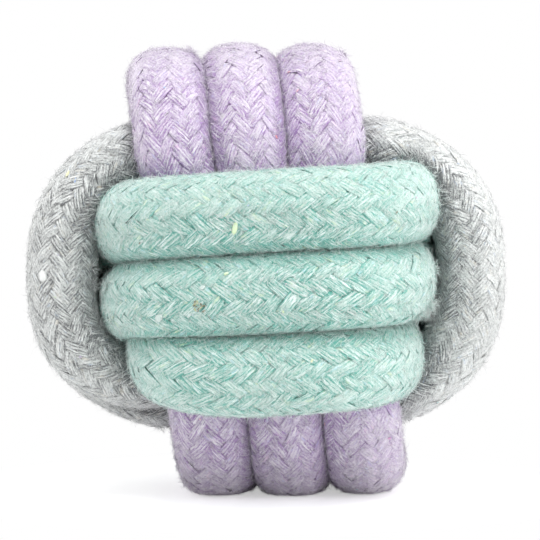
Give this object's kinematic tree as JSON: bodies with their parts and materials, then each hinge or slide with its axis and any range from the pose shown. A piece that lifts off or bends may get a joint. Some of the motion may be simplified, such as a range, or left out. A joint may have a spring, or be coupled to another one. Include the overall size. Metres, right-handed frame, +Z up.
{
  "type": "rope dog toy",
  "caption": "Tight ball of thick braided cotton ropes in mint, lilac and grey, each wound round its own axis and locked over the next, for a dog to chew and fetch.",
  "frame": {"origin": "under the middle of the ball, on the surface that it stands on", "axes": "+Z up; the mint windings face -Y and +Y, the grey windings reach furthest along +X and -X, and the lilac windings lie on top and underneath"},
  "size_m": [0.1116, 0.1104, 0.1062],
  "materials": {
    "mint_cotton": "soft braided cotton, matt, slightly fuzzy",
    "lilac_cotton": "soft braided cotton, matt, slightly fuzzy",
    "grey_cotton": "soft braided cotton, matt, slightly fuzzy",
    "filler_yarn": "straight undyed cotton yarn, matt",
    "cotton_waste": "teased cotton waste, matt"
  },
  "bodies": {
    "root": {"mint_rope_cover": "mint_cotton", "mint_rope_filler": "filler_yarn", "mint_start_binding": "mint_cotton", "mint_finish_binding": "mint_cotton", "lilac_rope_cover": "lilac_cotton", "lilac_rope_filler": "filler_yarn", "lilac_start_binding": "lilac_cotton", "lilac_finish_binding": "lilac_cotton", "grey_rope_cover": "grey_cotton", "grey_rope_filler": "filler_yarn", "grey_start_binding": "grey_cotton", "grey_finish_binding": "grey_cotton", "stuffing_wad": "cotton_waste"}
  },
  "joints": []
}
